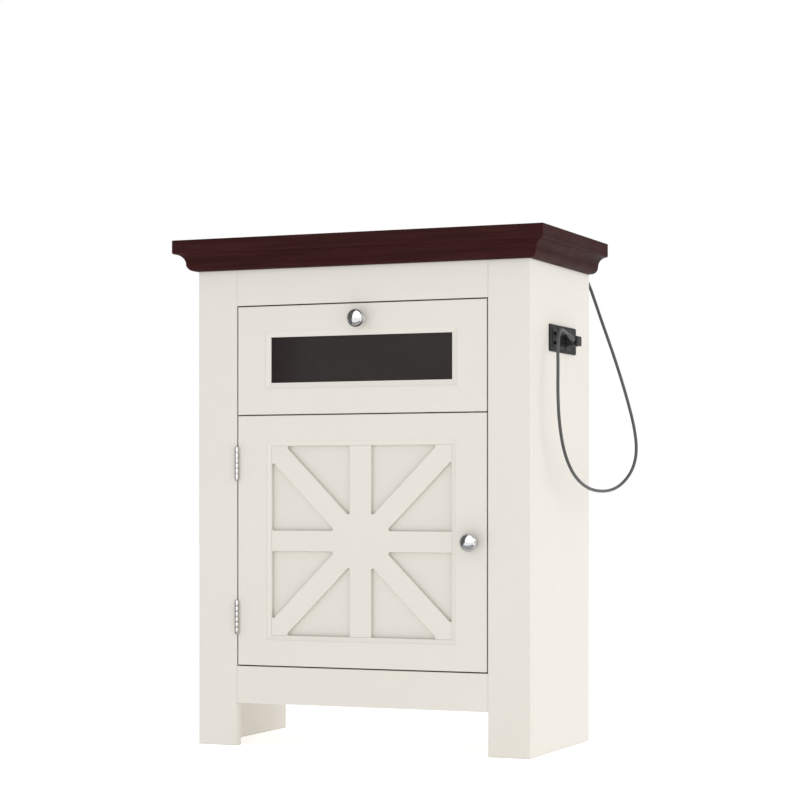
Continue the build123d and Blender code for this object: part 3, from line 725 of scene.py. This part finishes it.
def hingeMesh(name, edge, way, first):
    # one leaf of each hinge with its share of the knuckles; way points from the board to the leaf's face
    shape = bmesh.new()
    pinX, pinY, _ = middleOf("hinge_pins")
    pitch = hinge["height"] / hinge["knuckles"]
    length = pitch - 2 * hinge["gap"]
    rear = faceY + hinge["leafWidth"] * mm
    corner = hinge["leafCorner"] * mm
    flats = (edge, edge + way * hinge["leafThickness"] * mm)
    for level in hingeLevels:
        low = level - hinge["height"] / 2 * mm
        high = low + hinge["height"] * mm
        front = faceY + 0.01 * mm
        outlines = [[(front, low), (rear - corner, low), (rear, low + corner), (rear, high - corner),
                     (rear - corner, high), (front, high)]]
        for index in range(first, hinge["knuckles"], 2):
            start = low + (index * pitch + hinge["gap"]) * mm
            rings = addTurning(shape, knuckleOutline(length), (pinX, pinY, start), (0, 0, 1),
                               hinge["steps"], False, False)
            joinRings(shape, [rings[-1], rings[0]])
            # the strip that joins the knuckle to the leaf, clear of the pin
            bottom, top = start + 0.3 * mm, start + (length - 0.3) * mm
            near, far = pinY + (hinge["bore"] + 0.1) * mm, faceY + 0.02 * mm
            outlines.append([(near, bottom), (far, bottom), (far, top), (near, top)])
        for outline in outlines:
            loops = [[shape.verts.new((x, y, z)) for y, z in outline] for x in flats]
            joinRings(shape, loops)
            for loop in loops:
                shape.faces.new(loop)
    return finishMesh(shape, name)


leafY = faceY + hinge["screwDepth"] * mm
leafPoints = [(leafY, level + way * hinge["screwSpread"] * mm) for level in hingeLevels for way in (-1, 1)]
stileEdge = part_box("front_stile_left")[1][0]
# side, its body, where its board ends, which way its leaf faces, and its first knuckle
leafSides = [("frame", "cabinet", stileEdge, 1, 0), ("door", "door", doorLow[0], -1, 1)]
for side, body, edge, way, first in leafSides:
    leafMesh = hingeMesh(side + "_leaves", edge, way, first)
    addPiece(side + "_leaves", leafMesh, body, nickel, "nickel_hinge", "hinge_" + side + "_leaves")
for side, body, edge, way, _ in leafSides:
    places = [((edge, y, z), (way, 0, 0)) for y, z in leafPoints]
    screwSet("hinge_" + side + "_screws", body, nickel, "nickel_hinge", places, screws["leaf"])
print("hinges hung")

fixings = {
    "backX": (-0.2, -0.1, 0, 0.1, 0.2),     # metres
    "slideY": (-0.08, 0.11),
    "slideMetal": 1.2,
}
yellowZinc = zincFinish("yellow_zinc", "yellow")
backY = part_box("back_panel")[1][1]
backLevels = [middleOf("cabinet_floor")[2], middleOf("drawer_deck")[2]]
places = [((x, backY, z), (0, 1, 0)) for x in fixings["backX"] for z in backLevels]
screwSet("back_screws", "cabinet", yellowZinc, "zinc_steel", places, screws["back"], domed=True)
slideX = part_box("slide_outer_right")[1][0] - fixings["slideMetal"] * mm
slideZ = middleOf("slide_outer_right")[2]
places = [((way * slideX, y, slideZ), (-way, 0, 0)) for way in (-1, 1) for y in fixings["slideY"]]
screwSet("slide_screws", "cabinet", yellowZinc, "zinc_steel", places, screws["slide"])
for body in ("door", "drawer"):
    name = body + "_knob_screw"
    x, _, z = middleOf(name)
    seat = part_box(name)[1][1] - screws["knob"][1] * mm
    screwSet(name, body, yellowZinc, "zinc_steel", [((x, seat, z), (0, 1, 0))], screws["knob"], slotted=True)
print("screws driven")

plug = {
    "face": 285.6,          # of the socket
    "body": (45.0, 644.25, 13.5, 8.75),     # middle y and z, half length, half height
    "grip": (45.5, 643.75, 10.5, 7.75),
    # distance from the face, inset from the full outline, and corner radius
    "bodySections": [
        (0, 0.5, 2.2), (0.5, 0, 2.6), (5.9, 0, 2.6), (6.1, 0.2, 2.6), (6.5, 0.2, 2.6),
        (6.7, 0, 2.6), (10.6, 0, 2.6), (11.7, 0.3, 2.5), (12.5, 1.0, 2.2), (13.0, 2.1, 1.8),
    ],
    "gripSections": [
        (13.0, 2.6, 2.0), (13.3, 2.0, 2.0), (14.0, 2.0, 2.0), (14.3, 0.9, 2.0), (14.8, 0.15, 2.0),
        (15.1, 0, 2.0), (17.4, 0, 2.0), (18.0, 0.3, 2.0), (18.35, 0.9, 2.0), (18.5, 1.7, 2.0),
    ],
    "ribs": 5,
    "ribPitch": 3.2,
    # distance from the face, half width, inset from the grip's half height, and corner radius
    "ribSections": [(18.2, 0.8, 2.6, 0.7), (18.48, 0.55, 2.9, 0.5)],
    "prongY": 45.5,
    "prongZ": 650.0,
    "prongSpread": 6.35,
    "prongHalf": (0.8, 3.0),
    "prongSections": [(1, 0), (-13.0, 0), (-14.0, 0.35)],
    "pinZ": 637.5,
    "pinOutline": [(2.3, -1), (2.3, 12.4), (2.0, 13.4), (1.2, 14.0)],
}


def roundedRing(shape, along, middle, half, corner, count=8):
    # a rounded rectangle that lies across the plug's length
    ring = []
    for quarter, (u, v) in enumerate(((1, 1), (-1, 1), (-1, -1), (1, -1))):
        for step in range(count + 1):
            angle = math.pi / 2 * (quarter + step / count)
            y = middle[0] + u * (half[0] - corner) + corner * math.cos(angle)
            z = middle[1] + v * (half[1] - corner) + corner * math.sin(angle)
            ring.append(shape.verts.new(((plug["face"] + along) * mm, y * mm, z * mm)))
    return ring


def plugMesh(name):
    shape = bmesh.new()
    rings = []
    for part in ("body", "grip"):
        y, z, halfY, halfZ = plug[part]
        for along, inset, corner in plug[part + "Sections"]:
            rings.append(roundedRing(shape, along, (y, z), (halfY - inset, halfZ - inset), corner))
    joinRings(shape, rings)
    shape.faces.new(rings[0])
    shape.faces.new(rings[-1])
    # raised ribs across the grip's outer face
    for index in range(plug["ribs"]):
        ribY = y + (index - (plug["ribs"] - 1) / 2) * plug["ribPitch"]
        rib = []
        for along, half, inset, corner in plug["ribSections"]:
            rib.append(roundedRing(shape, along, (ribY, z), (half, halfZ - inset), corner, 4))
        joinRings(shape, rib)
        shape.faces.new(rib[-1])
    return finishMesh(shape, name)


def prongMesh(name):
    # two blades and a round pin
    shape = bmesh.new()
    y = plug["prongY"]
    halfY, halfZ = plug["prongHalf"]
    for side in (-1, 1):
        middle = (y + side * plug["prongSpread"], plug["prongZ"])
        rings = []
        for along, inset in plug["prongSections"]:
            rings.append(roundedRing(shape, along, middle, (halfY - inset, halfZ - inset), 0.3, 3))
        joinRings(shape, rings)
        shape.faces.new(rings[-1])
    pinFoot = (plug["face"] * mm, y * mm, plug["pinZ"] * mm)
    addTurning(shape, plug["pinOutline"], pinFoot, (-1, 0, 0), 32)
    return finishMesh(shape, name)


plugPiece = addPiece("plug_body", plugMesh("plug_body"), "cabinet", plugBlack, "black_plastic", "plug")
prongs = addPiece("plug_prongs", prongMesh("plug_prongs"), "cabinet", zinc, "zinc_steel")
print("plug in its socket")

relief = {
    "length": 27.0,
    "start": 5.2,           # radius in the plug
    "end": 3.2,
    "grooves": 7,
    "firstGroove": 8.0,     # clear of the plug's side
    "grooveDepth": 0.55,
    "grooveLength": 0.9,
    "grooveSlope": 0.2,
    "steps": 48,
}


def reliefMesh(name, end, following):
    # a tapered sleeve cut by ring grooves; the lead goes on from end to following
    depth, slope, last = relief["grooveDepth"], relief["grooveSlope"], relief["length"]

    def radiusAt(along):
        return relief["start"] + (relief["end"] - relief["start"]) * along / last

    outline = [(relief["start"] - 0.2, 0)]
    pitch = (last - relief["firstGroove"] - 1.0) / relief["grooves"]
    for index in range(relief["grooves"]):
        low = relief["firstGroove"] + index * pitch
        high = low + relief["grooveLength"]
        outline += [(radiusAt(low), low), (radiusAt(low) - depth, low + slope)]
        outline += [(radiusAt(high) - depth, high - slope), (radiusAt(high), high)]
    outline += [(radiusAt(last - 0.5), last - 0.5), (relief["end"] - 0.35, last)]
    shape = bmesh.new()
    way = (Vector(end) - Vector(following)).normalized()
    addTurning(shape, outline, Vector(end) + way * last * mm, -way, relief["steps"])
    return finishMesh(shape, name, 50)


gland = {
    "nut": 5.0,
    "acrossFlats": 16.0,
    "nose": (6.5, 3.6),     # radius at the nut and at the tip
    "flutes": 12,
    "fluteDepth": 0.45,
    "tipRound": 0.3,
}


def glandMesh(name, end):
    x, endY, z = end
    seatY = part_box("top_rear_rail")[1][1]
    shape = bmesh.new()
    nut = gland["nut"]
    corner = gland["acrossFlats"] / 2 / math.cos(math.pi / 6)
    outline = [(corner - 0.7, 0), (corner, 0.45), (corner, nut - 0.6), (corner - 0.9, nut)]
    addTurning(shape, outline, (x, seatY, z), (0, 1, 0), 6)
    # the clamping nose, fluted along its length
    length = (endY - seatY) / mm - nut
    wide, narrow = gland["nose"]
    depth = gland["fluteDepth"]
    steps = gland["flutes"] * 6
    sections = [
        (0, 0, 0), (0.8, 0, 0), (1.4, depth, 0), (length - 2.2, depth, 0),
        (length - 1.4, 0, 0), (length - 0.4, 0, 0), (length, 0, gland["tipRound"]),
    ]
    rings = []
    for along, flute, rounding in sections:
        radius = wide + (narrow - wide) * along / length - rounding
        ring = []
        for step in range(steps):
            angle = math.tau * step / steps
            cut = flute * max(0.0, math.cos(gland["flutes"] * angle))
            spoke = Vector((math.cos(angle), 0, math.sin(angle))) * (radius - cut) * mm
            ring.append(shape.verts.new(Vector((x, seatY + (nut + along) * mm, z)) + spoke))
        rings.append(ring)
    joinRings(shape, rings)
    shape.faces.new(rings[-1])
    return finishMesh(shape, name)


# the lead is in metres, and its route goes from the plug to the gland
lead = {
    "diameter": 0.005,
    "length": 0.905,
    "order": 3,
    "rings": 16,            # between two points of the route
    "route": [
        (0.2965, 0.008, 0.6525), (0.297, -0.012, 0.6575), (0.2985, -0.033, 0.6565),
        (0.3015, -0.051, 0.6455), (0.3045, -0.063, 0.626), (0.3075, -0.071, 0.597),
        (0.3085, -0.075, 0.556), (0.3095, -0.0715, 0.511), (0.3115, -0.054, 0.465),
        (0.316, -0.02, 0.43), (0.3215, 0.031, 0.4105), (0.328, 0.086, 0.4055),
        (0.333, 0.14, 0.41), (0.339, 0.179, 0.4245), (0.345, 0.203, 0.446),
        (0.348, 0.211, 0.474), (0.344, 0.212, 0.508), (0.334, 0.213, 0.547),
        (0.3205, 0.213, 0.592), (0.304, 0.214, 0.64), (0.287, 0.217, 0.684),
        (0.2748, 0.2179, 0.718), (0.2668, 0.2176, 0.7405), (0.2627, 0.2163, 0.7511),
        (0.2594, 0.2134, 0.76), (0.2569, 0.2079, 0.7676), (0.2552, 0.2003, 0.7731),
        (0.254, 0.1914, 0.776), (0.254, 0.182, 0.776),
    ],
}
leadCurve = bpy.data.curves.new("power_lead_line", "CURVE")
leadCurve.dimensions = "3D"
leadLine = leadCurve.splines.new("NURBS")
leadLine.points.add(len(lead["route"]) - 1)
for control, place in zip(leadLine.points, lead["route"]):
    control.co = (*place, 1)
leadLine.order_u = lead["order"]
leadLine.use_endpoint_u = True
leadLine.resolution_u = lead["rings"]
leadCurve.bevel_depth = lead["diameter"] / 2
leadCurve.bevel_resolution = 6
leadCurve.use_fill_caps = True
leadPiece = bpy.data.objects.new("lead", leadCurve)
bpy.context.scene.collection.objects.link(leadPiece)
leadCurve.materials.append(jacket)
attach(leadPiece, "cabinet")
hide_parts("power_lead")
reliefSleeve = reliefMesh("relief_sleeve", *lead["route"][:2])
sleeve = addPiece("relief_sleeve", reliefSleeve, "cabinet", jacket, "lead_rubber", "plug_strain_relief")
glandBody = glandMesh("gland_body", lead["route"][-1])
glandPiece = addPiece("gland_body", glandBody, "cabinet", black, "black_plastic", "lead_gland")
print("lead laid")


# studio

studio = {
    "white": (1.0, 1.0, 1.0),
    "backdrop": 1.0,        # what the lens sees behind the object
    "sky": 0.84,            # what lights it
    "floorTone": (0.90, 0.90, 0.895),
    "floorShade": 0.985,    # darkest part of the floor's clouds, over its tone
    "floorLift": 0.50,
    "floorHalf": 14.0,
}
world = bpy.data.worlds.new("studio")
bpy.context.scene.world = world
world.use_nodes = True
skyTree = world.node_tree
sky = skyTree.nodes["Background"]
sky.inputs["Color"].default_value = (*studio["white"], 1)
seen = node(skyTree, "ShaderNodeLightPath").outputs["Is Camera Ray"]
brightness = spread(skyTree, seen, studio["sky"], studio["backdrop"], 0.0, 1.0)
skyTree.links.new(brightness, sky.inputs["Strength"])
bpy.context.scene.view_settings.view_transform = "Standard"

floorMesh = bpy.data.meshes.new("floor")
floorShape = bmesh.new()
bmesh.ops.create_grid(floorShape, x_segments=8, y_segments=8, size=studio["floorHalf"])
floorShape.to_mesh(floorMesh)
floorShape.free()
floorPiece = bpy.data.objects.new("floor", floorMesh)
bpy.context.scene.collection.objects.link(floorPiece)
floorMaterial, floorTree = newMaterial("pale_floor")
floorPoint = boardPoint(floorTree)
floorCloud = spread(floorTree, noise(floorTree, floorPoint, 3.0, 4.0), 0.0, 1.0)
floorDark = tuple(studio["floorShade"] * value for value in studio["floorTone"])
floorColor = mixed(floorTree, floorCloud, studio["floorTone"], floorDark)
finish(floorTree, color=floorColor, roughness=0.8, specular=0.1,
       emission=studio["white"], glow=studio["floorLift"])
floorMesh.materials.append(floorMaterial)

lights = {
    "key": {"place": (-2.6, -3.2, 3.4), "aim": (0, 0, 0.45), "size": 2.2, "power": 7},
    "side": {"place": (3.6, 0.4, 1.8), "aim": (0, 0, 0.4), "size": 2.4, "power": 24},
}
for name, setting in lights.items():
    lamp = bpy.data.lights.new(name, "AREA")
    lamp.energy = setting["power"]
    lamp.size = setting["size"]
    lampPiece = bpy.data.objects.new(name, lamp)
    lampPiece.location = setting["place"]
    way = Vector(setting["aim"]) - Vector(setting["place"])
    lampPiece.rotation_euler = way.to_track_quat("-Z", "Y").to_euler()
    bpy.context.scene.collection.objects.link(lampPiece)

# cards that only show in polished metal: ranges round the front and upwards in degrees, and brightness
cards = {
    "leftCard": ((-100, -27), (-50, 100), 0.17),
    "topCard": ((-70, 90), (100, 128), 0.07),
    "rightCard": ((77, 92), (-40, 80), 0.08),
    "whiteCard": ((-26, 76), (-2, 98), 1.9),
}
shell = {
    "middle": (0, 0, 0.45),     # metres
    "radius": 4.7,
    "step": 6,              # degrees
    "floorGap": 0.002,
    # corners and brightness
    "floorCards": {
        "nearCard": ([(0.9, -0.72), (-0.5, -0.72), (-0.5, -0.14), (0.9, -0.14)], 0.50),
        "farCard": ([(-0.5, -0.72), (-3.0, -4.4), (-4.6, -0.14), (-0.5, -0.14)], 0.17),
    },
}


def addCard(name, rows, brightness):
    # rows of corners make a grid
    mesh = bpy.data.meshes.new(name)
    shape = bmesh.new()
    made = [[shape.verts.new(place) for place in row] for row in rows]
    for low, high in zip(made, made[1:]):
        for i in range(len(low) - 1):
            shape.faces.new((low[i], low[i + 1], high[i + 1], high[i]))
    shape.to_mesh(mesh)
    shape.free()
    piece = bpy.data.objects.new(name, mesh)
    bpy.context.scene.collection.objects.link(piece)
    for unseen in ("camera", "diffuse", "transmission", "volume_scatter", "shadow"):
        setattr(piece, "visible_" + unseen, False)
    material, tree = newMaterial(name)
    cloud = spread(tree, noise(tree, boardPoint(tree), 2.0), 0.9 * brightness, 1.1 * brightness)
    finish(tree, color=(0.0, 0.0, 0.0), roughness=1.0, specular=0.0, emission=studio["white"], glow=cloud)
    mesh.materials.append(material)


def stepsFrom(low, high, step):
    count = max(1, round((high - low) / step))
    return [math.radians(low + (high - low) * i / count) for i in range(count + 1)]


for name, (sideways, upwards, brightness) in cards.items():
    rows = []
    for rise in stepsFrom(*upwards, shell["step"]):
        row = []
        for side in stepsFrom(*sideways, shell["step"]):
            way = Vector((math.sin(side) * math.cos(rise), -math.cos(side) * math.cos(rise), math.sin(rise)))
            row.append(Vector(shell["middle"]) + way * shell["radius"])
        rows.append(row)
    addCard(name, rows, brightness)
for name, (corners, brightness) in shell["floorCards"].items():
    first, second, third, fourth = [(*corner, shell["floorGap"]) for corner in corners]
    addCard(name, [[first, second], [fourth, third]], brightness)
print("studio lit")
